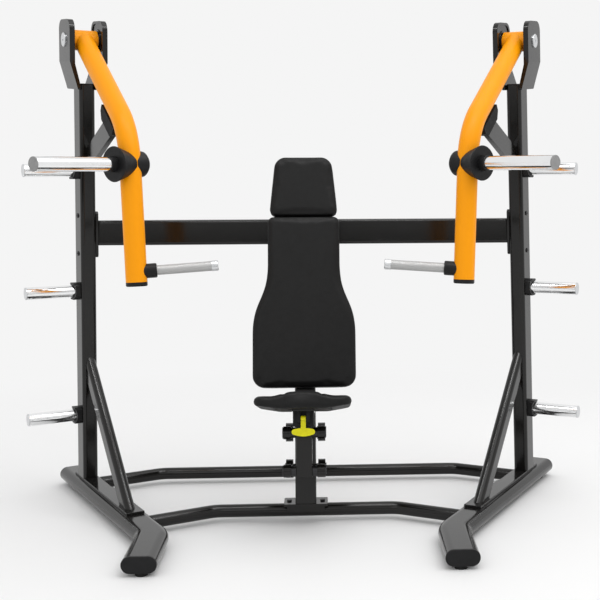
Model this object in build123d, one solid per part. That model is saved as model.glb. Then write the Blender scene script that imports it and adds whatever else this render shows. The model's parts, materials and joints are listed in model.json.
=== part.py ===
"""Plate-loaded wide chest press: two yawed side frames, two swinging press arms, a seat on a four-bar link.

Frame: +X right when facing the machine, -Y to the front, +Z up, in millimetres. The origin is on the
floor, at the middle of the machine's bounding box. Shapes are built about a datum where the two side
planes meet, and save() moves them to the origin.
Each side frame has its own local axes: x outward, y forward along the rail, z up.
"""
from build123d import *
from math import cos, radians, sin, tan
import os

MACHINE_Y = 353.0          # distance from the construction datum to the bounding box's middle

# ---- side frames -------------------------------------------------------------------------------
SIDE_YAW = 28.0            # the side frames' planes turn inward towards the front by this angle
SIDE_OFFSET = 794.0        # distance of each side plane from the origin, along its own normal
WALL = 3.0                 # wall of the steel tubes

# base rails: flat-oval tube with a bent front leg
RAIL_W, RAIL_H = 120.0, 60.0
FOOT_H = 12.0
RAIL_Z = FOOT_H + RAIL_H / 2
RAIL_REAR = -676.0         # local y of the rail's rear tube end
RAIL_BEND = 337.0          # local y of the corner where the leg turns straight forward
RAIL_BEND_R = 130.0
LEG_LENGTH = 286.0
END_CAP_T = 8.0
PLATE_T = 10.0
PLATE_TOP = FOOT_H + RAIL_H + PLATE_T
FOOT_R = 22.0

# uprights: rounded rectangular tube that leans forward
LEAN = 5.0
POST_W, POST_D, POST_R = 60.0, 96.0, 14.0
POST_X = 3.0               # the upright stands this far outward of the rail's centreline
POST_Y = -455.0            # local y of the upright's axis on the rail plate
POST_TOP = 1676.0

# front braces: flat-oval tube
BRACE_W, BRACE_H = 40.0, 80.0
BRACE_TOP_Z = 542.0        # height where its axis meets the upright's front face
BRACE_FOOT_Y = 54.0        # local y where its axis meets the rail plate

# storage pegs
PEG_HEIGHTS = (351.0, 866.0, 1348.0)
PEG_R = 25.0
PEG_TIP = 244.0            # local x of the free end
PEG_COLLAR_L = 27.0
PEG_BARE = 62.5            # local x where the peg's full diameter starts
ROOT_STEP = 0.5            # pegs and horns are this much thinner in radius inside their collars

# pivot fork, arm and stop
PIVOT_Y, PIVOT_Z = -317.0, 1850.0
FORK_GAP = 106.0
FORK_T = 20.0
FORK_W = 152.0
SHAFT_R = 15.0
BEARING_OD, BEARING_W = 62.0, 16.0
PIVOT_TUBE_R = 39.0
PIVOT_TUBE_HALF = 49.0
RUNNING = 0.05             # radial running clearance
OPEN_PIVOT_CLEAR = 0.6     # radial clearance of the pivot that closes the seat linkage
ARM_R = 38.0
ARM_WALL = 3.5
ARM_DROP = 34.9            # slope of the arm's upper run below horizontal
ARM_CORNER = (206.0, 1487.0)
ARM_BEND_R = 245.0
ARM_FOOT = (246.6, 952.0)
ARM_CAP_T = 15.0
ARM_RUN = 637.0            # length of the upper run, from the corner up to the pivot tube
STOP_CLEAR = 0.3
STOP_BLOCK_L, STOP_BLOCK_W, STOP_BLOCK_T = 160.0, 60.0, 50.0
STOP_BACK = 152.0          # distance of the stop block's middle from the arm's corner
STOP_BAR_T, STOP_BAR_H, STOP_BAR_RISE = 20.0, 80.0, 21.5
STOP_BAR_UP = 15.0         # the bar's middle is this far above the block's middle

# weight horns
HORN_Z = 1369.0
HORN_Y = 216.0
HORN_SWEEP = 22.5          # the horn points this far forward of the side plane's normal
HORN_R = 25.0
HORN_LENGTH = 407.0        # from the arm's axis to the tip
HORN_FACE = 75.0           # distance of the plate stop's face from the arm's axis
HORN_NECK_END = 103.0
HORN_CAP_T = 4.0

# handles
HANDLE_ROOT = (0.0, 244.0, 989.0)
HANDLE_TIP = (-271.0, 344.0, 1006.0)
HANDLE_BAR_R, HANDLE_GRIP_R = 12.0, 17.5
COLLAR_END, GRIP_END = 73.0, 266.0

# crossbar and cross tubes
BAR_Z = 1098.5
BAR_Y = -32.0
BAR_D, BAR_H, BAR_R = 60.0, 100.0, 12.0
FLANGE_Z = 1093.5
FLANGE_T, FLANGE_H, FLANGE_W = 10.0, 184.0, 82.0
FLANGE_BOLT = 76.0         # bolt distance above and below the flange's centre
CROSS_R = 25.0
FRONT_TUBE = (350.0, -374.0)    # X and Y of the bend at each end of the straight middle
REAR_TUBE = (635.0, 187.0)
CROSS_BEND_R = 110.0

# spine, pads and seat: local frame of the leaning spine is x, s (along it), n (forward of its axis)
RECLINE = 14.5
SPINE_Y0 = -394.7          # Y where the spine's axis meets the floor
SPINE_W, SPINE_D = 80.0, 100.0
SPINE_TOP = 1330.0
BASE_PLATE = (168.0, 90.0, 10.0)
BASE_PLATE_Y = -384.0
BASE_BOLT_X = 64.0
BACK_FRONT, HEAD_FRONT = 160.0, 150.0
BOARD_T = 12.0
CUSHION_T = 53.0
BACK_BOTTOM, BACK_TOP = 507.0, 1169.0
BACK_HALF_WIDE, BACK_HALF_NECK = 197.0, 139.0
BACK_FLARE = (749.0, 944.0)
HEAD_BOTTOM, HEAD_TOP = 1172.0, 1408.0
HEAD_HALF_LOW, HEAD_HALF_TOP = 133.0, 109.0

LINK_N = 218.0             # length of the seat's four-bar links
LINK_S = (196.0, 336.0)    # places of the lower and upper front pivots along the spine
LINK_RISE = 7.0            # the rear pivots sit this much further up the spine
LINK_IN, LINK_OUT = 48.0, 76.0
LINK_REAR_R, LINK_FRONT_R = 36.0, 24.0
LINK_WEB = 34.0            # height of the bar between a link's two eyes
AXLE_R = 10.0
SEAT_POST_W, SEAT_POST_D = 60.0, 44.0
SEAT_POST_S = (172.0, 409.0)
SEAT_PLATE_T = 8.0
SEAT_BASE = 417.0
SEAT_N = (105.0, 425.0)
SEAT_HALF = 175.0
SEAT_CORNER_R = 11.0       # of the wing tips, seen from the front
SEAT_EDGE_R = 9.0          # round the front face
LEVER_PIVOT = (386.0, 322.0)    # s and n of the release lever's pin

POST_OUT = POST_X + POST_W / 2      # local x of the upright's outer face
POST_IN = POST_X - POST_W / 2       # local x of its inner face
SIDE_FRAME = Plane(
    origin=(-SIDE_OFFSET * cos(radians(SIDE_YAW)), -SIDE_OFFSET * sin(radians(SIDE_YAW)), 0),
    x_dir=(-cos(radians(SIDE_YAW)), -sin(radians(SIDE_YAW)), 0),
    z_dir=(0, 0, 1),
).location
SPINE_FRAME = Plane(
    origin=(0, SPINE_Y0, 0),
    x_dir=(1, 0, 0),
    z_dir=(0, -cos(radians(RECLINE)), sin(radians(RECLINE))),
)
FORK_FRAME = Location((0, PIVOT_Y, PIVOT_Z), (-LEAN, 0, 0))
UP_RUN = (cos(radians(ARM_DROP)), -sin(radians(ARM_DROP)))    # direction of the arm's upper run
UP_NORMAL = (sin(radians(ARM_DROP)), cos(radians(ARM_DROP)))  # its upward normal
EVERYTHING = 5000.0


# ---- helpers -----------------------------------------------------------------------------------
def save(name, *solids):
    """Write one node from the solids of the given shapes."""
    pieces = [Location((0, MACHINE_Y, 0)) * solid for shape in solids for solid in shape.solids()]
    export_step(Compound(children=pieces) if len(pieces) > 1 else pieces[0], f"parts/{name}.step")


def left(shape):
    return SIDE_FRAME * shape


def right(shape):
    return mirror(left(shape), about=Plane.YZ)


def save_pair(name, shape):
    save(f"{name}_left", left(shape))
    save(f"{name}_right", right(shape))


def save_both(name, *shapes):
    """Write one node that holds the left and the right copies of the shapes."""
    save(name, *[left(shape) for shape in shapes], *[right(shape) for shape in shapes])


def bar_x(radius, x_from, x_to, y=0.0, z=0.0):
    """Round bar along X."""
    middle = Location(((x_from + x_to) / 2, y, z), (0, 90, 0))
    return middle * Cylinder(radius, abs(x_to - x_from))


def block(x_range, y_range, z_range):
    size = [high - low for low, high in (x_range, y_range, z_range)]
    centre = [(high + low) / 2 for low, high in (x_range, y_range, z_range)]
    return Location(centre) * Box(*size)


def post_y(z):
    """Local y of the upright's axis at height z."""
    return POST_Y + (z - PLATE_TOP) * tan(radians(LEAN))


def post_front(z):
    return post_y(z) + POST_D / 2 / cos(radians(LEAN))


def ahead_of_post():
    """Solid that fills everything in front of the upright's front face."""
    low, high = 0.0, 2200.0
    outline = Polyline(
        (post_front(low), low), (EVERYTHING, low), (EVERYTHING, high), (post_front(high), high), close=True
    )
    return extrude(Plane.YZ * make_face(outline), EVERYTHING / 2, both=True)


# ---- base --------------------------------------------------------------------------------------
def rail_sweep(width, height):
    yaw = radians(SIDE_YAW)
    leg_end = (LEG_LENGTH * sin(yaw), RAIL_BEND + LEG_LENGTH * cos(yaw), RAIL_Z)
    path = FilletPolyline((0, RAIL_REAR, RAIL_Z), (0, RAIL_BEND, RAIL_Z), leg_end, radius=RAIL_BEND_R)
    section = Plane((0, RAIL_REAR, RAIL_Z), x_dir=(1, 0, 0), z_dir=(0, 1, 0)) * SlotOverall(width, height)
    return sweep(section, path=path)


def base_rail():
    return rail_sweep(RAIL_W, RAIL_H) - rail_sweep(RAIL_W - 2 * WALL, RAIL_H - 2 * WALL)


def rail_end_caps():
    """Filleted oval caps on the rail's rear end and on the front leg's end."""
    yaw = radians(SIDE_YAW)
    rear = Plane((0, RAIL_REAR, RAIL_Z), x_dir=(1, 0, 0), z_dir=(0, -1, 0))
    front = Plane(
        (LEG_LENGTH * sin(yaw), RAIL_BEND + LEG_LENGTH * cos(yaw), RAIL_Z),
        x_dir=(cos(yaw), -sin(yaw), 0),
        z_dir=(sin(yaw), cos(yaw), 0),
    )
    caps = []
    for plane in (rear, front):
        cap = extrude(plane * SlotOverall(RAIL_W, RAIL_H), END_CAP_T)
        caps.append(fillet(cap.faces().sort_by(Axis(plane.origin, plane.z_dir))[-1].edges(), 3.0))
    return caps


def rubber_feet():
    yaw = radians(SIDE_YAW)
    reach = LEG_LENGTH - 14.0
    front = (reach * sin(yaw) - 6.0, RAIL_BEND + reach * cos(yaw))
    rear = (12.0, RAIL_REAR + 60.0)
    feet = []
    for x, y in (front, rear):
        puck = Location((x, y, FOOT_H / 2)) * Cylinder(FOOT_R, FOOT_H)
        feet.append(chamfer(puck.edges().group_by(Axis.Z)[0], 1.5))
    return feet


def rail_top_plate():
    """Doubler plate under the upright and the brace; its rear part is wider on the inside."""
    outline = Polyline(
        (31, 142), (-38, 142), (-38, -230), (-30, -240), (-30, -545), (31, -545), close=True
    )
    plate = extrude(Plane.XY.offset(PLATE_TOP - PLATE_T) * make_face(outline), PLATE_T)
    return chamfer(plate.faces().sort_by(Axis.Z)[-1].edges(), 1.0)


def cross_tube(bend, rail):
    """Round tube between the rails, its ends bent square to them and coped onto them."""
    bend_x, bend_y = bend
    yaw = radians(SIDE_YAW)
    normal_reach = SIDE_OFFSET - (bend_x * cos(yaw) - bend_y * sin(yaw))
    end_x = bend_x + normal_reach * cos(yaw)
    end_y = bend_y - normal_reach * sin(yaw)
    points = [(-end_x, end_y), (-bend_x, bend_y), (bend_x, bend_y), (end_x, end_y)]
    path = FilletPolyline(*[(x, y, RAIL_Z) for x, y in points], radius=CROSS_BEND_R)
    start = Plane(
        (-end_x, end_y, RAIL_Z), x_dir=(0, 0, 1), z_dir=(cos(yaw), sin(yaw), 0)
    )
    tube = sweep(start * Circle(CROSS_R), path=path) - sweep(start * Circle(CROSS_R - WALL), path=path)
    return tube - left(rail) - right(rail)


# ---- uprights ----------------------------------------------------------------------------------
def slanted_post(width, depth, corner, z_from, z_to):
    section = Location((POST_X, post_y(z_from), z_from)) * RectangleRounded(width, depth, corner)
    rise = z_to - z_from
    return extrude(section, rise / cos(radians(LEAN)), dir=(0, sin(radians(LEAN)), cos(radians(LEAN))))


def upright():
    post = slanted_post(POST_W, POST_D, POST_R, PLATE_TOP, POST_TOP)
    post -= slanted_post(POST_W - 2 * WALL, POST_D - 2 * WALL, POST_R - WALL, PLATE_TOP, POST_TOP)
    for z in flange_bolt_heights():
        post -= bar_x(6.5, -POST_W, POST_W, post_y(z), z)
    return post


def flange_bolt_heights():
    return (FLANGE_Z - FLANGE_BOLT, FLANGE_Z + FLANGE_BOLT)


def upright_top_cap():
    cap = slanted_post(POST_W - 1.0, POST_D - 1.0, POST_R, POST_TOP, POST_TOP + 6.0)
    return fillet(cap.faces().sort_by(Axis.Z)[-1].edges(), 2.5)


def front_brace():
    top = (post_front(BRACE_TOP_Z), BRACE_TOP_Z)
    foot = (BRACE_FOOT_Y, PLATE_TOP)
    run, drop = foot[0] - top[0], foot[1] - top[1]
    length = (run ** 2 + drop ** 2) ** 0.5
    direction = (0, run / length, drop / length)
    over = 120.0
    start = (0, top[0] - over * direction[1], top[1] - over * direction[2])
    plane = Plane(start, x_dir=(1, 0, 0), z_dir=direction)
    outer = extrude(plane * Rot(Z=90) * SlotOverall(BRACE_H, BRACE_W), length + 2 * over)
    inner = extrude(plane * Rot(Z=90) * SlotOverall(BRACE_H - 2 * WALL, BRACE_W - 2 * WALL), length + 2 * over)
    above_plate = block((-100, 100), (-900, 900), (PLATE_TOP, 1500))
    return (outer - inner) & ahead_of_post() & above_plate


def storage_pegs():
    pegs = []
    for z in PEG_HEIGHTS:
        tube = bar_x(PEG_R - ROOT_STEP, POST_OUT, PEG_BARE, post_y(z), z)
        tube += bar_x(PEG_R, PEG_BARE, PEG_TIP - 4, post_y(z), z)
        tube -= bar_x(PEG_R - WALL, POST_OUT - 1, PEG_TIP, post_y(z), z)
        pegs.append(tube)
    return pegs


def peg_end_caps():
    caps = []
    for z in PEG_HEIGHTS:
        cap = bar_x(PEG_R, PEG_TIP - 4, PEG_TIP, post_y(z), z)
        cap += bar_x(PEG_R - WALL, PEG_TIP - 16, PEG_TIP - 4, post_y(z), z)
        caps.append(chamfer(cap.faces().sort_by(Axis.X)[-1].edges(), 1.2))
    return caps


def peg_collars():
    """Moulded collar at each peg's root, with a saddle-shaped outer face."""
    collars = []
    for z in PEG_HEIGHTS:
        base = POST_OUT
        collar = Plane((base, post_y(z), z), x_dir=(0, 1, 0), z_dir=(1, 0, 0)) * RectangleRounded(64, 68, 18)
        collar = extrude(collar, PEG_COLLAR_L)
        hollow = Location((base + PEG_COLLAR_L + 52, post_y(z), z), (90, 0, 0)) * Cylinder(60, 200)
        collar -= hollow
        collar -= bar_x(PEG_R - ROOT_STEP, base - 1, base + 80, post_y(z), z)
        collars.append(collar)
    return collars


# ---- pivot fork and stop -----------------------------------------------------------------------
def fork_plate(side):
    """One cranked fork plate; side +1 is the outer one, -1 the inner one."""
    half, gap = POST_W / 2 + side * POST_X, FORK_GAP / 2
    inner = [(half, -187), (half, -170), (gap, -90), (gap, 77)]
    outer = [(gap + FORK_T, 77), (gap + FORK_T, -82), (half + FORK_T - 5, -168), (half + 10, -187)]
    outline = Polyline(*[(side * x, z) for x, z in inner + outer], close=True)
    plate = extrude(Plane.XZ * make_face(outline), FORK_W / 2, both=True)
    upright_edges = plate.edges().filter_by(Axis.X)
    plate = fillet(upright_edges.group_by(Axis.Z)[-1], 40.0)
    plate = fillet(plate.edges().filter_by(Axis.X).group_by(Axis.Z)[0], 6.0)
    pocket = Plane((side * gap, 0, -6), x_dir=(0, 1, 0), z_dir=(side, 0, 0)) * RectangleRounded(128, 146, 34)
    pocket = extrude(pocket, 4.0) - bar_x(46.0, side * gap, side * (gap + 5))
    plate -= pocket
    plate -= bar_x(SHAFT_R, -200, 200)
    return FORK_FRAME * plate


def pivot_shaft():
    return FORK_FRAME * bar_x(SHAFT_R, -FORK_GAP / 2 - FORK_T, FORK_GAP / 2 + FORK_T)


def pivot_shaft_caps():
    """Domed bolt heads on the fork's outer faces, each with a centre recess."""
    face = FORK_GAP / 2 + FORK_T
    caps = []
    for side in (-1, 1):
        cap = bar_x(27.0, side * face, side * (face + 6))
        rim = cap.faces().sort_by(Axis.X)[-1 if side > 0 else 0]
        cap = fillet(rim.edges(), 2.5)
        cap -= bar_x(5.0, side * (face + 3), side * (face + 10))
        caps.append(FORK_FRAME * cap)
    return caps


def pivot_spacers():
    spacers = []
    for side in (-1, 1):
        ring = bar_x(34.0, side * (PIVOT_TUBE_HALF + 0.4), side * FORK_GAP / 2) - bar_x(SHAFT_R, -200, 200)
        spacers.append(FORK_FRAME * ring)
    return spacers


def stop_frame():
    """Frame on the stop block's upper face: x along the arm's run, z towards the arm."""
    contact = ARM_R + STOP_CLEAR
    y = ARM_CORNER[0] - STOP_BACK * UP_RUN[0] - contact * UP_NORMAL[0]
    z = ARM_CORNER[1] - STOP_BACK * UP_RUN[1] - contact * UP_NORMAL[1]
    return Plane((0, y, z), x_dir=(0, *UP_RUN), z_dir=(0, *UP_NORMAL))


def stop_bumper():
    """Rubber block under the arm; its face follows the arm where the bend begins."""
    frame = stop_frame()
    body = extrude(frame * Rectangle(STOP_BLOCK_L, STOP_BLOCK_W), -STOP_BLOCK_T)
    low_ends = body.edges().filter_by(Axis.X).sort_by(Axis(frame.origin, frame.z_dir))[:2]
    return chamfer(low_ends, 24.0) - arm_envelope(STOP_CLEAR)


def stop_arm():
    """Flat bar from the upright's front face up to the rubber block's underside."""
    underside = stop_frame().offset(-STOP_BLOCK_T)
    rise = radians(STOP_BAR_RISE)
    run = Vector(0, cos(rise), sin(rise))
    across = Vector(0, -sin(rise), cos(rise))
    start = Plane(underside.origin + across * STOP_BAR_UP - run * 420, x_dir=(1, 0, 0), z_dir=run)
    bar = extrude(start * Rectangle(STOP_BAR_T, STOP_BAR_H), 520) & ahead_of_post()
    return bar - extrude(underside * Rectangle(600, 200), 400)


# ---- swinging arms -----------------------------------------------------------------------------
def arm_sweep(radius):
    """Bent round bar along the arm's centreline."""
    start = (0, ARM_CORNER[0] - ARM_RUN * UP_RUN[0], ARM_CORNER[1] - ARM_RUN * UP_RUN[1])
    path = FilletPolyline(start, (0, *ARM_CORNER), (0, *ARM_FOOT), radius=ARM_BEND_R)
    return sweep(Plane(start, x_dir=(1, 0, 0), z_dir=(0, *UP_RUN)) * Circle(radius), path=path)


def arm_envelope(extra):
    """The arm's outer surface grown by extra, for the parts that are shaped to it."""
    return arm_sweep(ARM_R + extra)


def arm_tube():
    """Bent arm welded to its pivot tube."""
    bent = arm_sweep(ARM_R) - arm_sweep(ARM_R - ARM_WALL)
    pivot = bar_x(PIVOT_TUBE_R, -PIVOT_TUBE_HALF, PIVOT_TUBE_HALF) - bar_x(27.0, -60, 60)
    for side in (-1, 1):
        pivot -= bar_x(BEARING_OD / 2, side * PIVOT_TUBE_HALF, side * (PIVOT_TUBE_HALF - BEARING_W))
    bent -= FORK_FRAME * bar_x(PIVOT_TUBE_R - 1.0, -60, 60)
    return bent + FORK_FRAME * pivot


def arm_bearings():
    rings = []
    for side in (-1, 1):
        ring = bar_x(BEARING_OD / 2, side * PIVOT_TUBE_HALF, side * (PIVOT_TUBE_HALF - BEARING_W))
        rings.append(FORK_FRAME * (ring - bar_x(SHAFT_R + RUNNING, -60, 60)))
    return rings


def arm_end_cap():
    lower = Vector(0, ARM_FOOT[0] - ARM_CORNER[0], ARM_FOOT[1] - ARM_CORNER[1]).normalized()
    plane = Plane((0, *ARM_FOOT), x_dir=(1, 0, 0), z_dir=lower)
    cap = extrude(plane * Circle(ARM_R), ARM_CAP_T)
    cap = chamfer(cap.faces().sort_by(Axis(plane.origin, plane.z_dir))[-1].edges(), 3.0)
    return cap + extrude(plane * Circle(ARM_R - ARM_WALL), -20)


def horn_plane():
    sweep_angle = radians(HORN_SWEEP)
    return Plane((0, HORN_Y, HORN_Z), x_dir=(0, 0, 1), z_dir=(cos(sweep_angle), sin(sweep_angle), 0))


def weight_horn():
    plane = horn_plane()
    tube = extrude(plane * Circle(HORN_R - ROOT_STEP), HORN_NECK_END)
    tube += extrude(plane.offset(HORN_NECK_END) * Circle(HORN_R), HORN_LENGTH - HORN_CAP_T - HORN_NECK_END)
    return tube - extrude(plane * Circle(HORN_R - WALL), HORN_LENGTH) - arm_envelope(0.0)


def horn_end_cap():
    plane = horn_plane()
    cap = extrude(plane.offset(HORN_LENGTH - HORN_CAP_T) * Circle(HORN_R), HORN_CAP_T)
    cap = chamfer(cap.faces().sort_by(Axis(plane.origin, plane.z_dir))[-1].edges(), 1.2)
    return cap + extrude(plane.offset(HORN_LENGTH - HORN_CAP_T) * Circle(HORN_R - WALL), -14.0)


def turned(plane, profile):
    """Solid of revolution about the plane's normal, from (distance, radius) points."""
    outline = Polyline(*[(0, radius, distance) for distance, radius in profile], close=True)
    ring = revolve(make_face(outline), axis=Axis.Z)
    return plane.location * ring


def horn_bumper():
    """Conical plate stop that hugs the arm, with a neck along the horn."""
    face, neck, bore = HORN_FACE, HORN_NECK_END, HORN_R - ROOT_STEP
    profile = [
        (2, bore), (2, 39), (face - 7, 61), (face - 2, 62.5), (face, 60), (face, 28),
        (neck - 2, 28), (neck, 26.5), (neck, bore),
    ]
    return turned(horn_plane(), profile) - arm_envelope(0.4)


def horn_saddle_cap():
    """Rounded cap on the arm's inner side, opposite the horn."""
    profile = [(-2, 0), (-2, 39), (-38, 46.5), (-48, 46), (-56, 39), (-59, 29), (-59, 0)]
    return turned(horn_plane(), profile) - arm_envelope(0.4)


def handle_plane():
    root = Vector(*HANDLE_ROOT)
    run = (Vector(*HANDLE_TIP) - root).normalized()
    return Plane(root, x_dir=(0, 0, 1), z_dir=run)


def handle_length():
    return (Vector(*HANDLE_TIP) - Vector(*HANDLE_ROOT)).length


def handle_collar():
    profile = [
        (20, HANDLE_BAR_R), (20, 26), (COLLAR_END - 3, 26), (COLLAR_END, 23), (COLLAR_END, HANDLE_BAR_R),
    ]
    return turned(handle_plane(), profile) - arm_envelope(0.0)


def handle_bar():
    """Handle: a thin root inside the collar and a thick grip beyond it."""
    plane = handle_plane()
    bar = extrude(plane * Circle(HANDLE_BAR_R), GRIP_END) - arm_envelope(0.0)
    profile = [
        (COLLAR_END, HANDLE_BAR_R), (COLLAR_END, HANDLE_GRIP_R),
        (GRIP_END, HANDLE_GRIP_R), (GRIP_END, HANDLE_BAR_R),
    ]
    return bar + turned(plane, profile)


def handle_end_cap():
    length = handle_length()
    profile = [(GRIP_END, 0), (GRIP_END, 19), (length - 2, 19), (length, 17), (length, 0)]
    cap = turned(handle_plane(), profile)
    screw = handle_plane().offset(GRIP_END + 12)
    hole = Plane(screw.origin, x_dir=screw.z_dir, z_dir=screw.x_dir) * Circle(3.5)
    return cap - extrude(hole, 30)


# ---- crossbar ----------------------------------------------------------------------------------
def crossbar_flange():
    z_low, z_high = FLANGE_Z - FLANGE_H / 2, FLANGE_Z + FLANGE_H / 2
    low, high = post_y(z_low), post_y(z_high)
    half = FLANGE_W / 2
    corners = [(low - half, z_low), (low + half, z_low), (high + half, z_high), (high - half, z_high)]
    plate = extrude(Plane.YZ.offset(POST_IN - FLANGE_T) * make_face(Polyline(*corners, close=True)), FLANGE_T)
    plate = fillet(plate.edges().filter_by(Axis.X), 12.0)
    for z in flange_bolt_heights():
        plate -= bar_x(6.5, -POST_W, POST_W, post_y(z), z)
    return plate


def crossbar():
    section = Plane.YZ * Location((BAR_Y, BAR_Z)) * RectangleRounded(BAR_D, BAR_H, BAR_R)
    hollow = Plane.YZ * Location((BAR_Y, BAR_Z)) * RectangleRounded(BAR_D - 2 * WALL, BAR_H - 2 * WALL, BAR_R - WALL)
    bar = extrude(section, 1200, both=True) - extrude(hollow, 1200, both=True)
    beyond = block((POST_IN - FLANGE_T, 800), (-2000, 2000), (0, 2500))
    return bar - left(beyond) - right(beyond)


def flange_bolts():
    """Bolts through each upright and flange: button head outside, nut inside."""
    bolts = []
    inner = POST_IN - FLANGE_T
    for z in flange_bolt_heights():
        y = post_y(z)
        head = bar_x(9.0, POST_OUT, POST_OUT + 4, y, z)
        head = fillet(head.faces().sort_by(Axis.X)[-1].edges(), 2.0)
        head -= bar_x(3.5, POST_OUT + 2, POST_OUT + 9, y, z)
        shank = bar_x(6.0, POST_OUT, inner - 10, y, z)
        nut = Plane((inner, y, z), x_dir=(0, 1, 0), z_dir=(-1, 0, 0)) * RegularPolygon(10.0, 6)
        bolts.append(head + shank + extrude(nut, 8.0))
    return bolts


# ---- spine and pads ----------------------------------------------------------------------------
def spine_block(x_range, s_range, n_range):
    """Box in the spine's leaning frame: x across, s along the spine, n forward of its axis."""
    return SPINE_FRAME.location * block(x_range, s_range, n_range)


def spine_bar(radius, x_from, x_to, s, n):
    return SPINE_FRAME.location * bar_x(radius, x_from, x_to, s, n)


def spine(crossbar_envelope):
    """Leaning box tube, closed by a plate at its top."""
    tube = Plane.XZ * RectangleRounded(SPINE_W, SPINE_D, BAR_R)
    hollow = Plane.XZ * RectangleRounded(SPINE_W - 2 * WALL, SPINE_D - 2 * WALL, BAR_R - WALL)
    column = extrude(tube, -SPINE_TOP) - extrude(hollow, -SPINE_TOP)
    column += Location((0, SPINE_TOP, 0)) * extrude(tube, -5.0)
    column = SPINE_FRAME.location * column
    floor_cut = block((-200, 200), (-900, 400), (-300, spine_foot_z()))
    column = column - floor_cut - crossbar_envelope
    for s in LINK_S:
        column -= spine_bar(AXLE_R + RUNNING, -60, 60, s + LINK_RISE, 0)
    return column


def spine_foot_z():
    return RAIL_Z + CROSS_R + BASE_PLATE[2] + 2.0


def spine_base_plate():
    width, depth, thick = BASE_PLATE
    plate = Location((0, BASE_PLATE_Y, spine_foot_z() - thick / 2)) * Box(width, depth, thick)
    plate = fillet(plate.edges().filter_by(Axis.Z), 8.0)
    for x in (-BASE_BOLT_X, BASE_BOLT_X):
        plate -= Location((x, BASE_PLATE_Y, spine_foot_z())) * Cylinder(5.5, 40)
    return plate


def cross_tube_saddle():
    """Block welded over the front cross tube, under the spine's foot plate."""
    top = spine_foot_z() - BASE_PLATE[2]
    saddle = block((-72, 72), (BASE_PLATE_Y - 34, BASE_PLATE_Y + 38), (RAIL_Z + 2, top))
    return saddle - bar_x(CROSS_R, -200, 200, FRONT_TUBE[1], RAIL_Z)


def base_bolts():
    """Two bolts through the foot plate's ends."""
    bolts = []
    for x in (-BASE_BOLT_X, BASE_BOLT_X):
        top = Plane((x, BASE_PLATE_Y, spine_foot_z()))
        bolts.append(extrude(top * RegularPolygon(9.0, 6), 6.0) + extrude(top * Circle(5.0), -BASE_PLATE[2]))
    return bolts


def pad_brackets():
    """Top-hat brackets between the spine's front face and the pads' boards."""
    brackets = []
    front = SPINE_D / 2
    for s, board in ((640, BACK_FRONT), (1080, BACK_FRONT), (1290, HEAD_FRONT)):
        back_of_board = board - CUSHION_T - BOARD_T
        sides = spine_block((-35, 35), (s - 25, s + 25), (front, back_of_board - 5))
        sides -= spine_block((-30, 30), (s - 60, s + 60), (front - 1, back_of_board - 10))
        flange = spine_block((-75, 75), (s - 25, s + 25), (back_of_board - 5, back_of_board))
        brackets.append(sides + flange)
    return brackets


def back_outline(inset):
    """Half-round-cornered bottle outline of the back pad, drawn in x and s."""
    wide, neck = BACK_HALF_WIDE - inset, BACK_HALF_NECK - inset
    low, high = BACK_BOTTOM + inset, BACK_TOP - inset
    flare_low, flare_high = BACK_FLARE
    corner, shoulder = 46.0, 24.0
    right_edge = [
        Line((0, low), (wide - corner, low)),
        JernArc((wide - corner, low), (1, 0), corner, 90),
        Line((wide, low + corner), (wide, flare_low - 40)),
        Spline(
            (wide, flare_low - 40), (neck, flare_high + 40),
            tangents=((0, 1), (0, 1)), tangent_scalars=(1.5, 1.5),
        ),
        Line((neck, flare_high + 40), (neck, high - shoulder)),
        JernArc((neck, high - shoulder), (0, 1), shoulder, 90),
        Line((neck - shoulder, high), (0, high)),
    ]
    half = Curve() + right_edge
    return make_face(Curve() + right_edge + list(mirror(half, about=Plane.YZ).edges()))


def head_outline(inset):
    low, high = HEAD_HALF_LOW - inset, HEAD_HALF_TOP - inset
    outline = Polyline(
        (-low, HEAD_BOTTOM + inset), (low, HEAD_BOTTOM + inset),
        (high, HEAD_TOP - inset), (-high, HEAD_TOP - inset), close=True,
    )
    face = make_face(outline)
    corners = face.vertices().group_by(Axis.Y)
    face = fillet(corners[-1], 46.0)
    return fillet(face.vertices().group_by(Axis.Y)[0], 26.0)


def cushion(outline, front, thickness):
    pad = extrude(SPINE_FRAME.offset(front - thickness) * outline, thickness)
    return fillet(pad.faces().sort_by(Axis(SPINE_FRAME.origin, SPINE_FRAME.z_dir))[-1].edges(), 12.0)


def pad_boards():
    boards = []
    for outline, front in ((back_outline(6.0), BACK_FRONT), (head_outline(6.0), HEAD_FRONT)):
        back = front - CUSHION_T - BOARD_T
        boards.append(extrude(SPINE_FRAME.offset(back) * outline, BOARD_T))
    return boards


# ---- seat and its four-bar link -----------------------------------------------------------------
def link_frame(s):
    """Frame of one link: origin on its rear pivot, x along the link towards its front pivot."""
    reach = Vector(0, -LINK_RISE, LINK_N).normalized()
    return Plane((0, s + LINK_RISE, 0), x_dir=reach, z_dir=(1, 0, 0))


def link_bar(side, s):
    """Flat link with a large rear eye on the spine and a small front eye on the seat post."""
    inner, outer = sorted((side * LINK_IN, side * LINK_OUT))
    length = (LINK_N ** 2 + LINK_RISE ** 2) ** 0.5
    outline = Circle(LINK_REAR_R) + Location((length, 0)) * Circle(LINK_FRONT_R)
    outline += Location((length / 2, 0)) * Rectangle(length, LINK_WEB)
    bar = extrude(link_frame(s).offset(inner) * outline, outer - inner)
    bar -= bar_x(AXLE_R, -200, 200, s + LINK_RISE, 0)
    bar -= bar_x(AXLE_R, -200, 200, s, LINK_N)
    return SPINE_FRAME.location * bar


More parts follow.
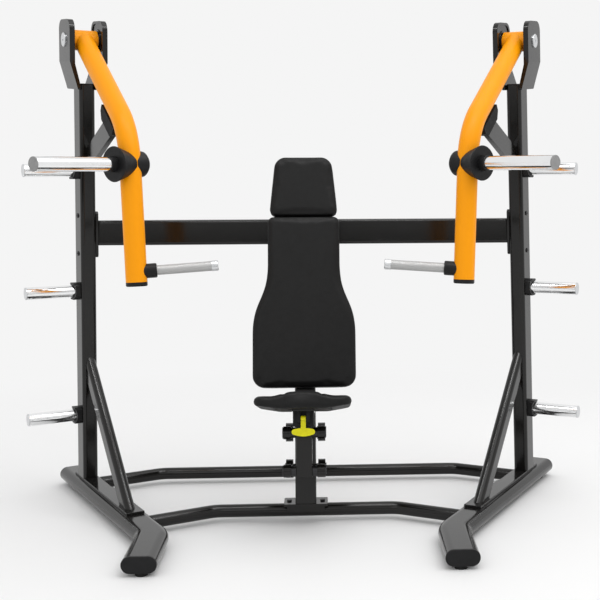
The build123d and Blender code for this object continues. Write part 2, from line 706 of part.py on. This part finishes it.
def link_axles(s):
    """Both axles of one link pair, with spacer sleeves inside and round covers outside."""
    pieces = []
    for along, n, inside in ((s + LINK_RISE, 0.0, SPINE_W / 2), (s, LINK_N, SEAT_POST_W / 2)):
        axle = spine_bar(AXLE_R, -LINK_OUT, LINK_OUT, along, n)
        for side in (-1, 1):
            sleeve = spine_bar(19.0, side * (inside + 0.3), side * LINK_IN, along, n)
            cover = spine_bar(21.0, side * LINK_OUT, side * (LINK_OUT + 4), along, n)
            axle = axle + sleeve + cover
        pieces.append(axle)
    return pieces


def seat_frame():
    """Seat post with a bushed hole for each front axle, and the plate under the seat."""
    low, high = SEAT_POST_S
    half_w, half_d = SEAT_POST_W / 2, SEAT_POST_D / 2
    post = spine_block((-half_w, half_w), (low, high), (LINK_N - half_d, LINK_N + half_d))
    post = fillet(post.edges().filter_by(Axis(SPINE_FRAME.origin, SPINE_FRAME.y_dir)), 6.0)
    inside_w, inside_d = half_w - WALL, half_d - WALL
    post -= spine_block((-inside_w, inside_w), (low - 1, high), (LINK_N - inside_d, LINK_N + inside_d))
    frame = post + spine_block((-40, 40), (high, high + SEAT_PLATE_T), (150, 372))
    for s in LINK_S:
        frame = frame + spine_bar(14.0, -half_w, half_w, s, LINK_N)
        frame -= spine_bar(AXLE_R + front_clearance(s), -60, 60, s, LINK_N)
    return frame


def front_clearance(s):
    """The lower front pivot closes the linkage and gets more room than the upper one."""
    return OPEN_PIVOT_CLEAR if s == LINK_S[0] else RUNNING


def seat_board():
    board = spine_block((-100, 100), (SEAT_BASE, SEAT_BASE + BOARD_T), (135, 395))
    return fillet(board.edges().filter_by(Axis(SPINE_FRAME.origin, SPINE_FRAME.y_dir)), 30.0)


def seat_pad():
    """Saddle-shaped cushion: thin wings, a raised middle, and an underside recessed for the board."""
    tip_low, wing_top, crown = SEAT_BASE + 12.0, SEAT_BASE + 43.5, SEAT_BASE + 59.0
    half, corner = SEAT_HALF, SEAT_CORNER_R
    top = Spline(
        (half - corner, wing_top), (100, wing_top + 1), (50, crown - 2), (0, crown),
        (-50, crown - 2), (-100, wing_top + 1), (-half + corner, wing_top), tangents=((-1, 0), (-1, 0)),
    )
    outline = Curve() + [
        Line((-90, SEAT_BASE), (90, SEAT_BASE)),
        Line((90, SEAT_BASE), (half - corner, tip_low)),
        RadiusArc((half - corner, tip_low), (half, tip_low + corner), -corner),
        Line((half, tip_low + corner), (half, wing_top - corner)),
        RadiusArc((half, wing_top - corner), (half - corner, wing_top), -corner),
        top,
        RadiusArc((-half + corner, wing_top), (-half, wing_top - corner), -corner),
        Line((-half, wing_top - corner), (-half, tip_low + corner)),
        RadiusArc((-half, tip_low + corner), (-half + corner, tip_low), -corner),
        Line((-half + corner, tip_low), (-90, SEAT_BASE)),
    ]
    near, far = SEAT_N
    body = extrude(SPINE_FRAME.offset(near) * make_face(outline), far - near)
    body = fillet(body.faces().sort_by(Axis(SPINE_FRAME.origin, SPINE_FRAME.z_dir))[-1].edges(), SEAT_EDGE_R)
    below = SPINE_FRAME.from_local_coords((0, SEAT_BASE - 20, (near + far) / 2))
    plan = Plane(below, x_dir=(1, 0, 0), z_dir=SPINE_FRAME.y_dir) * RectangleRounded(2 * half, far - near, 40.0)
    return (body & extrude(plan, 160)) - seat_board()


def release_housing():
    """Moulded latch housing under the seat plate; the lever hangs on the pin in its front slot."""
    s_pin, n_pin = LEVER_PIVOT
    top = SEAT_POST_S[1]
    box = spine_block((-38, 38), (top - 52, top), (LINK_N + SEAT_POST_D / 2, n_pin - 12))
    cheeks = spine_block((-24, -11), (top - 38, top), (n_pin - 12, n_pin + 12))
    cheeks += spine_block((11, 24), (top - 38, top), (n_pin - 12, n_pin + 12))
    return box + cheeks + spine_bar(4.0, -24, 24, s_pin, n_pin)


def release_lever():
    """T-shaped release lever that hangs below its pin."""
    s_pin, n_pin = LEVER_PIVOT
    stem = spine_block((-9, 9), (s_pin - 40, s_pin), (n_pin - 6, n_pin + 6))
    stem += spine_bar(9.0, -9, 9, s_pin, n_pin)
    centre = SPINE_FRAME.from_local_coords((0, s_pin - 50, n_pin - 6))
    grip_plane = Plane(centre, x_dir=(1, 0, 0), z_dir=SPINE_FRAME.z_dir)
    grip_outline = Curve() + [
        ThreePointArc((-34, 10), (0, 14), (34, 10)),
        ThreePointArc((34, 10), (42, 0), (34, -10)),
        ThreePointArc((34, -10), (0, -16), (-34, -10)),
        ThreePointArc((-34, -10), (-42, 0), (-34, 10)),
    ]
    grip = extrude(grip_plane * make_face(grip_outline), 12.0)
    return stem + grip - spine_bar(4.0 + RUNNING, -30, 30, s_pin, n_pin)


# ---- all nodes ---------------------------------------------------------------------------------
def build_base():
    rail_solid = rail_sweep(RAIL_W, RAIL_H)
    save_pair("base_rail", base_rail())
    save_both("rail_end_caps", *rail_end_caps())
    save_both("rubber_feet", *rubber_feet())
    save_both("rail_top_plates", rail_top_plate())
    save("front_cross_tube", cross_tube(FRONT_TUBE, rail_solid))
    save("rear_cross_tube", cross_tube(REAR_TUBE, rail_solid))


def build_side_frames():
    save_pair("upright", upright())
    save_both("upright_top_caps", upright_top_cap())
    save_both("front_braces", front_brace())
    save_both("stop_arms", stop_arm())
    save_both("stop_bumpers", stop_bumper())
    for name, place in (("left", left), ("right", right)):
        save(f"fork_plates_{name}", place(fork_plate(1)), place(fork_plate(-1)))
    save_both("storage_pegs", *storage_pegs())
    save_both("pivot_shafts", pivot_shaft())
    save_both("pivot_shaft_caps", *pivot_shaft_caps())
    save_both("pivot_spacers", *pivot_spacers())
    save_both("peg_collars", *peg_collars())
    save_both("peg_end_caps", *peg_end_caps())


def build_crossbar():
    save("crossbar", crossbar())
    save_both("crossbar_flanges", crossbar_flange())
    bolts = [place(bolt) for bolt in flange_bolts() for place in (left, right)]
    save("frame_bolts", *bolts, *base_bolts())


def build_arms():
    for name, place in (("left", left), ("right", right)):
        save(f"arm_tube_{name}", place(arm_tube()))
        save(f"arm_bearings_{name}", *[place(ring) for ring in arm_bearings()])
        save(f"arm_end_cap_{name}", place(arm_end_cap()))
        save(f"weight_horn_{name}", place(weight_horn()))
        save(f"horn_end_cap_{name}", place(horn_end_cap()))
        save(f"horn_bumper_{name}", place(horn_bumper()))
        save(f"horn_saddle_cap_{name}", place(horn_saddle_cap()))
        save(f"handle_collar_{name}", place(handle_collar()))
        save(f"handle_bar_{name}", place(handle_bar()))
        save(f"handle_end_cap_{name}", place(handle_end_cap()))


def build_spine_and_pads():
    bar_space = block((-400, 400), (BAR_Y - BAR_D / 2, BAR_Y + BAR_D / 2), (BAR_Z - BAR_H / 2, BAR_Z + BAR_H / 2))
    save("spine", spine(bar_space))
    save("spine_base_plate", spine_base_plate())
    save("cross_tube_saddle", cross_tube_saddle())
    save("pad_brackets", *pad_brackets())
    save("pad_boards", *pad_boards())
    save("back_pad", cushion(back_outline(0.0), BACK_FRONT, CUSHION_T))
    save("head_pad", cushion(head_outline(0.0), HEAD_FRONT, CUSHION_T))


def build_seat():
    for name, s in (("lower", LINK_S[0]), ("upper", LINK_S[1])):
        save(f"{name}_links", link_bar(-1, s), link_bar(1, s))
        save(f"{name}_link_axles", *link_axles(s))
    save("seat_frame", seat_frame())
    save("seat_board", seat_board())
    save("seat_pad", seat_pad())
    save("release_housing", release_housing())
    save("release_lever", release_lever())


os.makedirs("parts", exist_ok=True)
build_base()
build_side_frames()
build_crossbar()
build_arms()
build_spine_and_pads()
build_seat()
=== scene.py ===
"""Looks of the plate-loaded chest press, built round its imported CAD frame. Lengths are in metres."""

import json
import math

import bpy
import numpy as np
from mathutils import Matrix, Vector


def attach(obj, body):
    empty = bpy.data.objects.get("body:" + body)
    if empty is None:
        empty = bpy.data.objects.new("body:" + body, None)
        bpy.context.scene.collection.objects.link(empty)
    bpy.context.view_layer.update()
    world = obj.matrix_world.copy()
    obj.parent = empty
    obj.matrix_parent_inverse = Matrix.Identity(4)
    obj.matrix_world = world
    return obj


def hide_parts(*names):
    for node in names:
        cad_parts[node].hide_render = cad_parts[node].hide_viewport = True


MM = 0.001

# The spine leans back by this angle. The back and head pads face square to it, and the seat faces along it.
SPINE_LEAN = math.radians(14.5)
PAD_FRONT = Vector((0, -math.cos(SPINE_LEAN), math.sin(SPINE_LEAN)))
PAD_UP = Vector((0, math.sin(SPINE_LEAN), math.cos(SPINE_LEAN)))

# The side frames' planes turn inwards towards the front by this angle.
SPLAY = math.radians(28)

# A noise texture keeps most of its values between these two.
NOISE_LOW, NOISE_HIGH = 0.3, 0.7

# Blender's wave texture runs through this many radians in a metre at scale 1.
WAVE_RADIANS = 20

# The grey level of the world and of the floor far from the machine.
BACKGROUND = 0.913

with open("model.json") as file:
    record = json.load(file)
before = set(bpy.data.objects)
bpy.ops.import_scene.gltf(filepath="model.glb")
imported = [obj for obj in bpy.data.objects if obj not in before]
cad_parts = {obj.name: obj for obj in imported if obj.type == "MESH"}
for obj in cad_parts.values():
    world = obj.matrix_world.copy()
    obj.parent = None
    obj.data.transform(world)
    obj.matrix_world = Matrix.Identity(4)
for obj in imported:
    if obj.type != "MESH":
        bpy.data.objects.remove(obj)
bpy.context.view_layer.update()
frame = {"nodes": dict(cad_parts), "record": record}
nodes = frame["nodes"]


# ---------------------------------------------------------------- material tools


class Surface:
    """A node material with helpers that feed its Principled shader from the piece's own coordinates."""

    def __init__(self, name, colour, roughness, metallic=0.0, specular=0.5):
        self.material = bpy.data.materials.new(name)
        self.material.use_nodes = True
        self.tree = self.material.node_tree
        self.shader = self.tree.nodes["Principled BSDF"]
        self.set("Base Color", (*colour, 1))
        self.set("Roughness", roughness)
        self.set("Metallic", metallic)
        self.set("Specular IOR Level", specular)
        coordinates = self.tree.nodes.new("ShaderNodeTexCoord")
        self.place = coordinates.outputs["Object"]
        self.normal = None

    def set(self, socket, value):
        self.shader.inputs[socket].default_value = value

    def link(self, source, target):
        self.tree.links.new(source, target)

    def stretched(self, scale, turn=(0, 0, 0)):
        """The piece's coordinates turned, then scaled along each axis."""
        turning = self.tree.nodes.new("ShaderNodeMapping")
        turning.inputs["Rotation"].default_value = turn
        self.link(self.place, turning.inputs["Vector"])
        scaling = self.tree.nodes.new("ShaderNodeMapping")
        scaling.inputs["Scale"].default_value = scale
        self.link(turning.outputs["Vector"], scaling.inputs["Vector"])
        return scaling.outputs["Vector"]

    def noise(self, scale, detail, place=None):
        texture = self.tree.nodes.new("ShaderNodeTexNoise")
        texture.inputs["Scale"].default_value = scale
        texture.inputs["Detail"].default_value = detail
        self.link(place or self.place, texture.inputs["Vector"])
        return texture.outputs["Fac"]

    def cells(self, scale):
        texture = self.tree.nodes.new("ShaderNodeTexVoronoi")
        texture.inputs["Scale"].default_value = scale
        self.link(self.place, texture.inputs["Vector"])
        return texture.outputs["Distance"]

    def waves(self, pitch, turn):
        """Straight ribs across the turned x direction, one to each pitch in metres, from 0 to 1."""
        texture = self.tree.nodes.new("ShaderNodeTexWave")
        texture.wave_profile = "SIN"
        texture.inputs["Scale"].default_value = 2 * math.pi / WAVE_RADIANS / pitch
        self.link(self.stretched((1, 1, 1), turn), texture.inputs["Vector"])
        return texture.outputs["Fac"]

    def spread(self, value, low, high, out_low, out_high):
        """A value between low and high, stretched to run from out_low to out_high."""
        node = self.tree.nodes.new("ShaderNodeMapRange")
        settings = (("From Min", low), ("From Max", high), ("To Min", out_low), ("To Max", out_high))
        for socket, number in settings:
            node.inputs[socket].default_value = number
        self.link(value, node.inputs["Value"])
        return node.outputs["Result"]

    def product(self, first, second):
        node = self.tree.nodes.new("ShaderNodeMath")
        node.operation = "MULTIPLY"
        self.link(first, node.inputs[0])
        self.link(second, node.inputs[1])
        return node.outputs[0]

    def vary_colour(self, value, low_colour, high_colour):
        node = self.tree.nodes.new("ShaderNodeValToRGB")
        low, high = node.color_ramp.elements
        low.position = NOISE_LOW
        low.color = (*low_colour, 1)
        high.position = NOISE_HIGH
        high.color = (*high_colour, 1)
        self.link(value, node.inputs["Fac"])
        self.link(node.outputs["Color"], self.shader.inputs["Base Color"])

    def vary_roughness(self, value, low, high):
        self.link(self.spread(value, NOISE_LOW, NOISE_HIGH, low, high), self.shader.inputs["Roughness"])

    def soften_edges(self, radius):
        """Lets the light roll over sharp edges, as a coat of paint does."""
        node = self.tree.nodes.new("ShaderNodeBevel")
        node.samples = 4
        node.inputs["Radius"].default_value = radius
        self.normal = node.outputs["Normal"]
        self.link(self.normal, self.shader.inputs["Normal"])

    def relief(self, height, depth, strength):
        """Bumps of that depth in metres, on top of any relief that the surface already has."""
        node = self.tree.nodes.new("ShaderNodeBump")
        node.inputs["Strength"].default_value = strength
        node.inputs["Distance"].default_value = depth
        self.link(height, node.inputs["Height"])
        if self.normal is not None:
            self.link(self.normal, node.inputs["Normal"])
        self.normal = node.outputs["Normal"]
        self.link(self.normal, self.shader.inputs["Normal"])


def shades(colour, darker, lighter):
    """The colour made a little darker and a little lighter."""
    return tuple(c * darker for c in colour), tuple(c * lighter for c in colour)


# ---------------------------------------------------------------- materials, one per slot


def black_paint():
    colour = (0.0065, 0.0061, 0.0055)
    s = Surface("black powder coat", colour, 0.14, specular=0.34)
    s.vary_colour(s.noise(5, 3), *shades(colour, 0.85, 1.2))
    s.vary_roughness(s.noise(11, 4), 0.11, 0.17)
    s.soften_edges(2 * MM)
    s.relief(s.noise(420, 1), 0.02 * MM, 0.2)
    return s.material


def black_moulding():
    colour = (0.006, 0.006, 0.0065)
    s = Surface("black moulding", colour, 0.45, specular=0.25)
    s.vary_colour(s.noise(30, 3), *shades(colour, 0.8, 1.25))
    s.vary_roughness(s.noise(55, 3), 0.38, 0.55)
    s.relief(s.noise(1600, 2), 0.08 * MM, 0.5)
    return s.material


def rubber():
    colour = (0.009, 0.009, 0.009)
    s = Surface("black rubber", colour, 0.75, specular=0.2)
    s.vary_colour(s.noise(40, 4), *shades(colour, 0.75, 1.4))
    s.vary_roughness(s.noise(90, 3), 0.68, 0.85)
    s.relief(s.cells(900), 0.1 * MM, 0.6)
    return s.material


def chrome():
    colour = (0.86, 0.865, 0.87)
    s = Surface("chrome plate", colour, 0.08, metallic=1.0)
    s.vary_colour(s.noise(9, 2), *shades(colour, 0.97, 1.02))
    s.vary_roughness(s.noise(24, 4), 0.08, 0.13)
    s.relief(s.noise(500, 1), 0.01 * MM, 0.03)
    return s.material


def brushed_steel(name, colour, rough):
    """Machined metal with fine scratches, which run along the pins of the side frame at positive x."""
    s = Surface(name, colour, rough, metallic=1.0)
    grain = s.noise(1, 3, s.stretched((60, 1400, 1400), (0, 0, SPLAY)))
    s.vary_colour(grain, *shades(colour, 0.85, 1.1))
    s.vary_roughness(grain, rough - 0.08, rough + 0.1)
    s.relief(grain, 0.02 * MM, 0.3)
    return s.material


def orange_paint():
    colour = (0.93, 0.335, 0.0015)
    s = Surface("orange powder coat", colour, 0.36, specular=0.13)
    s.vary_colour(s.noise(4, 3), *shades(colour, 0.97, 1.0))
    s.vary_roughness(s.noise(13, 4), 0.32, 0.42)
    s.relief(s.noise(430, 1), 0.03 * MM, 0.3)
    return s.material


def knurled_grip():
    colour = (0.5, 0.5, 0.495)
    pitch = 2.4 * MM
    s = Surface("knurled grip", colour, 0.42, metallic=0.55, specular=0.5)
    rising = s.waves(pitch, (0, math.radians(45), 0))
    falling = s.waves(pitch, (0, math.radians(-45), 0))
    knurl = s.product(rising, falling)
    s.vary_colour(knurl, *shades(colour, 0.78, 1.15))
    s.vary_roughness(s.noise(60, 3), 0.36, 0.5)
    s.relief(knurl, 0.35 * MM, 0.8)
    return s.material


def grey_cap():
    colour = (0.25, 0.25, 0.25)
    s = Surface("grey end cap", colour, 0.4, specular=0.5)
    s.vary_colour(s.noise(70, 3), *shades(colour, 0.9, 1.08))
    s.vary_roughness(s.noise(120, 3), 0.34, 0.48)
    s.relief(s.noise(1500, 2), 0.06 * MM, 0.4)
    return s.material


def upholstery():
    colour = (0.0038, 0.0038, 0.0038)
    s = Surface("black upholstery", colour, 0.5, specular=0.24)
    weave = s.product(s.waves(5 * MM, (SPINE_LEAN, math.radians(45), 0)),
                      s.waves(5 * MM, (SPINE_LEAN, math.radians(-45), 0)))
    s.vary_colour(s.noise(12, 4), *shades(colour, 0.85, 1.2))
    s.vary_roughness(s.noise(45, 4), 0.46, 0.6)
    s.relief(weave, 0.25 * MM, 0.35)
    s.relief(s.cells(800), 0.2 * MM, 0.3)
    return s.material


def backing_board():
    colour = (0.02, 0.018, 0.016)
    s = Surface("painted plywood", colour, 0.7, specular=0.3)
    grain = s.noise(1, 4, s.stretched((6, 160, 160), (SPINE_LEAN, 0, 0)))
    s.vary_colour(grain, *shades(colour, 0.7, 1.5))
    s.vary_roughness(grain, 0.6, 0.8)
    s.relief(grain, 0.15 * MM, 0.6)
    return s.material


def yellow_lever():
    colour = (0.80, 0.74, 0.003)
    s = Surface("yellow moulding", colour, 0.3, specular=0.25)
    s.vary_colour(s.noise(60, 2), *shades(colour, 0.92, 1.03))
    s.vary_roughness(s.noise(90, 3), 0.25, 0.38)
    s.relief(s.noise(1200, 2), 0.05 * MM, 0.3)
    return s.material


def make_materials():
    return {
        "black_paint": black_paint(),
        "black_moulding": black_moulding(),
        "rubber_foot": rubber(),
        "chrome_plate": chrome(),
        "bright_steel": brushed_steel("zinc plated steel", (0.66, 0.67, 0.68), 0.3),
        "black_steel": brushed_steel("blackened steel", (0.05, 0.05, 0.052), 0.4),
        "orange_paint": orange_paint(),
        "grey_grip": knurled_grip(),
        "grey_cap": grey_cap(),
        "black_upholstery": upholstery(),
        "board": backing_board(),
        "yellow_lever": yellow_lever(),
    }


def dress(piece, material):
    piece.data.materials.clear()
    piece.data.materials.append(material)


# ---------------------------------------------------------------- pads

# Each pad: its CAD node, the body that it rides on, and the way its front faces.
PADS = (
    ("back_pad", "frame", PAD_FRONT),
    ("head_pad", "frame", PAD_FRONT),
    ("seat_pad", "seat_carriage", PAD_UP),
)
SIDEWAYS = Vector((1, 0, 0))
TINY = 1e-9

PAD_VOXEL = 5 * MM
PAD_PRESSURE = 4.0
PAD_FRAMES = 20
RELAX_STEPS = 5

# The cover starts this far inside the CAD pad, and the pressure blows it out from there.
PAD_INSET = 1 * MM

# The finished cover stands off the CAD pad by no more than this, towards its front and to its sides.
PAD_CROWN = 3 * MM
PAD_SIDE_GIVE = 0.6 * MM

# A point rests on the board if its normal faces away from the front by more than this cosine.
SUPPORT_FACING = -0.7

# The seat's two creases, on either side of its raised middle, also reach this far round its edges.
CREASE_X = 68 * MM
CREASE_WIDTH = 7 * MM
CREASE_DEPTH = 3.5 * MM
CREASE_REACH = 0.35

# The middle of the scoop in the seat's front is this many half heights below the seat's top.
SCOOP_DROP = 0.6
SCOOP_HALF_WIDTH = 42 * MM
SCOOP_HALF_HEIGHT = 16 * MM
SCOOP_DEPTH = 7 * MM


def vertex_array(mesh, attribute):
    flat = np.zeros(len(mesh.vertices) * 3, np.float32)
    mesh.vertices.foreach_get(attribute, flat)
    return flat.reshape(-1, 3).astype(float)


def write_vertices(mesh, places):
    mesh.vertices.foreach_set("co", places.astype(np.float32).ravel())
    mesh.update()


def settle(piece):
    """Makes the modifiers' result the piece's own mesh."""
    depsgraph = bpy.context.evaluated_depsgraph_get()
    result = bpy.data.meshes.new_from_object(piece.evaluated_get(depsgraph))
    piece.modifiers.clear()
    piece.data = result


def remeshed_copy(node, name):
    """A closed, even mesh in the shape of that CAD node."""
    piece = bpy.data.objects.new(name, nodes[node].data.copy())
    bpy.context.scene.collection.objects.link(piece)
    remesh = piece.modifiers.new("Remesh", "REMESH")
    remesh.mode = "VOXEL"
    remesh.voxel_size = PAD_VOXEL
    settle(piece)
    return piece


def swell(piece, held):
    """Blows the foam up against its cover with cloth simulation. The held points rest on the board."""
    group = piece.vertex_groups.new(name="held")
    group.add([int(i) for i in np.flatnonzero(held)], 1.0, "REPLACE")
    cloth = piece.modifiers.new("Cloth", "CLOTH")
    cloth.settings.use_pressure = True
    cloth.settings.uniform_pressure_force = PAD_PRESSURE
    cloth.settings.effector_weights.gravity = 0
    cloth.settings.vertex_group_mass = group.name
    cloth.point_cache.frame_start = 1
    cloth.point_cache.frame_end = PAD_FRAMES
    for step in range(1, PAD_FRAMES + 1):
        bpy.context.scene.frame_set(step)
    settle(piece)
    piece.vertex_groups.clear()
    bpy.context.scene.frame_set(1)


def limited(moves, limit):
    """The moves, none longer than the limit."""
    lengths = np.linalg.norm(moves, axis=1, keepdims=True)
    return moves * np.minimum(1, limit / np.maximum(lengths, TINY))


def spanned(places, model, direction):
    """The places stretched along a direction until they reach as far as the model does."""
    axis = np.array(direction)
    ours, theirs = places @ axis, model @ axis
    scale = np.ptp(theirs) / np.ptp(ours)
    target = theirs.min() + (ours - ours.min()) * scale
    return places + (target - ours)[:, None] * axis


def relax(piece):
    """Takes the small ripples out of the cover, as stretched upholstery has none."""
    smooth = piece.modifiers.new("Relax", "CORRECTIVE_SMOOTH")
    smooth.rest_source = "ORCO"
    smooth.use_only_smooth = True
    smooth.factor = 0.5
    smooth.iterations = RELAX_STEPS
    settle(piece)


def padded_piece(node, name, facing):
    """A stuffed pad that stands in for a CAD node: crowned towards facing, flat on its board."""
    piece = remeshed_copy(node, name)
    places = vertex_array(piece.data, "co")
    normals = vertex_array(piece.data, "normal")
    front = np.array(facing)
    held = normals @ front < SUPPORT_FACING
    start = places - normals * PAD_INSET * ~held[:, None]
    write_vertices(piece.data, start)
    swell(piece, held)
    moves = vertex_array(piece.data, "co") - places
    along = (moves @ front)[:, None] * front
    across = moves - along
    swollen = places + limited(along, PAD_CROWN) + limited(across, PAD_SIDE_GIVE)
    model = vertex_array(nodes[node].data, "co")
    for direction in (SIDEWAYS, SIDEWAYS.cross(facing)):
        swollen = spanned(swollen, model, direction)
    write_vertices(piece.data, swollen)
    relax(piece)
    return piece


def finish_pad(piece, node, body, material):
    for polygon in piece.data.polygons:
        polygon.use_smooth = True
    rounding = piece.modifiers.new("Rounding", "SUBSURF")
    rounding.levels = 1
    rounding.render_levels = 1
    dress(piece, material)
    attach(piece, body)
    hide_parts(node)


def crease_depths(places, normals):
    """How deep the two creases press each point in."""
    up, front = np.array(PAD_UP), np.array(PAD_FRONT)
    offset = (np.abs(places[:, 0]) - CREASE_X) / CREASE_WIDTH
    exposed = np.clip(normals @ up + CREASE_REACH, 0, 1) + np.clip(normals @ front, 0, 1)
    return CREASE_DEPTH * np.exp(-(offset**2)) * np.minimum(exposed, 1)


def scoop_depths(places, normals):
    """How deep the shallow scoop presses each point in."""
    height = places @ np.array(PAD_UP)
    facing = np.clip(normals @ np.array(PAD_FRONT), 0, 1)
    below_top = (height.max() - height) / SCOOP_HALF_HEIGHT - SCOOP_DROP
    return SCOOP_DEPTH * np.exp(-((places[:, 0] / SCOOP_HALF_WIDTH) ** 2) - below_top**2) * facing


def press_creases(piece):
    """Presses two soft creases and a shallow scoop into the seat's cover."""
    places = vertex_array(piece.data, "co")
    normals = vertex_array(piece.data, "normal")
    depths = crease_depths(places, normals) + scoop_depths(places, normals)
    write_vertices(piece.data, places - normals * depths[:, None])


def add_pads(material):
    for node, body, facing in PADS:
        piece = padded_piece(node, f"{node}_cover", facing)
        if node == "seat_pad":
            press_creases(piece)
        finish_pad(piece, node, body, material)


# ---------------------------------------------------------------- studio

FLOOR_HALF = 30.0

# The floor fades to the plain background between these distances from the origin.
FADE_START, FADE_END = 1.9, 3.4

# Each dark card: its name, its y, and the heights of its lower and upper edges.
DARK_CARDS = (("card_low", -5.2, 0.2, 0.75), ("card_high", -4.4, 3.0, 3.5))
CARD_HALF_WIDTH = 6

# Each softbox: its name, place, aim, size, power in watts, and whether only reflections see it.
SOFTBOXES = (
    ("top", (1.6, -1.2, 5.0), (0, -0.6, 0), (5.0, 5.0), 105, False),
    ("strip", (0, -1.2, 4.2), (0, 0, 0), (4.0, 0.2), 40, True),
    ("left", (-1.7, -5.2, 3.5), (0, 0, 1.0), (2.6, 2.0), 22, True),
)

# The camera stands in front, turned a little right and down.
CAMERA_PLACE = Vector((0.1154, -4.272, 1.347))
CAMERA_YAW = math.radians(3.163)
CAMERA_PITCH = math.radians(6.604)
CAMERA_ROLL = math.radians(-0.195)
CAMERA_LENS = 67.58
CAMERA_SENSOR = 36
CAMERA_SHIFT_X = -0.1598


def flat_sheet(name, corners, material):
    mesh = bpy.data.meshes.new(name)
    mesh.from_pydata(corners, [], [tuple(range(len(corners)))])
    sheet = bpy.data.objects.new(name, mesh)
    bpy.context.scene.collection.objects.link(sheet)
    dress(sheet, material)
    return sheet


def floor_material():
    """Pale floor near the machine, which fades to the plain background with distance from it."""
    s = Surface("pale floor", (0.855, 0.855, 0.855), 0.6, specular=0.1)
    s.relief(s.noise(90, 2), 0.05 * MM, 0.1)
    length = s.tree.nodes.new("ShaderNodeVectorMath")
    length.operation = "LENGTH"
    s.link(s.place, length.inputs[0])
    fade = s.spread(length.outputs["Value"], FADE_START, FADE_END, 0, 1)
    glow = s.tree.nodes.new("ShaderNodeEmission")
    glow.inputs["Color"].default_value = (BACKGROUND, BACKGROUND, BACKGROUND, 1)
    mix = s.tree.nodes.new("ShaderNodeMixShader")
    s.link(fade, mix.inputs["Fac"])
    s.link(s.shader.outputs["BSDF"], mix.inputs[1])
    s.link(glow.outputs["Emission"], mix.inputs[2])
    s.link(mix.outputs["Shader"], s.tree.nodes["Material Output"].inputs["Surface"])
    return s.material


def card_material():
    s = Surface("dark card", (0.01, 0.01, 0.01), 0.9, specular=0.0)
    s.relief(s.noise(50, 1), 0.1 * MM, 0.2)
    return s.material


def add_floor():
    corners = [(x * FLOOR_HALF, y * FLOOR_HALF, 0) for x, y in ((-1, -1), (1, -1), (1, 1), (-1, 1))]
    flat_sheet("floor", corners, floor_material())


def add_dark_cards():
    """Narrow dark cards that only reflections see, for the streaks in the chrome."""
    material = card_material()
    left, right = -CARD_HALF_WIDTH, CARD_HALF_WIDTH
    for name, y, low, high in DARK_CARDS:
        corners = [(left, y, low), (right, y, low), (right, y, high), (left, y, high)]
        card = flat_sheet(name, corners, material)
        card.visible_camera = False
        card.visible_diffuse = False
        card.visible_shadow = False


def add_world():
    world = bpy.data.worlds.new("studio")
    world.use_nodes = True
    background = world.node_tree.nodes["Background"]
    background.inputs["Color"].default_value = (BACKGROUND, BACKGROUND, BACKGROUND, 1)
    background.inputs["Strength"].default_value = 1.0
    bpy.context.scene.world = world


def add_softbox(name, place, target, size, power, only_gloss):
    light = bpy.data.lights.new(name, "AREA")
    light.shape = "RECTANGLE"
    light.size, light.size_y = size
    light.energy = power
    lamp = bpy.data.objects.new(name, light)
    lamp.location = place
    direction = Vector(target) - Vector(place)
    lamp.rotation_euler = direction.to_track_quat("-Z", "Y").to_euler()
    lamp.visible_camera = False
    lamp.visible_diffuse = not only_gloss
    bpy.context.scene.collection.objects.link(lamp)


def camera_turn():
    """The camera's rotation: its right, its up and its backward direction as columns."""
    yaw, pitch, roll = CAMERA_YAW, CAMERA_PITCH, CAMERA_ROLL
    forward = Vector((math.sin(yaw) * math.cos(pitch), math.cos(yaw) * math.cos(pitch), -math.sin(pitch)))
    right = Vector((math.cos(yaw), -math.sin(yaw), 0))
    up = right.cross(forward)
    rolled_right = right * math.cos(roll) + up * math.sin(roll)
    rolled_up = rolled_right.cross(forward)
    return Matrix((rolled_right, rolled_up, -forward)).transposed()


def add_camera():
    data = bpy.data.cameras.new("camera")
    data.sensor_width = CAMERA_SENSOR
    data.lens = CAMERA_LENS
    data.shift_x = CAMERA_SHIFT_X
    camera = bpy.data.objects.new("camera", data)
    camera.matrix_world = Matrix.Translation(CAMERA_PLACE) @ camera_turn().to_4x4()
    bpy.context.scene.collection.objects.link(camera)
    bpy.context.scene.camera = camera


def add_studio():
    add_world()
    add_floor()
    add_dark_cards()
    for softbox in SOFTBOXES:
        add_softbox(*softbox)
    add_camera()
    bpy.context.scene.view_settings.view_transform = "Standard"


# ---------------------------------------------------------------- the scene

materials = make_materials()
slots = {part["node"]: part["material_slot"] for part in frame["record"]["subparts"]}
for node, cad_piece in nodes.items():
    dress(cad_piece, materials[slots[node]])
add_pads(materials["black_upholstery"])
add_studio()
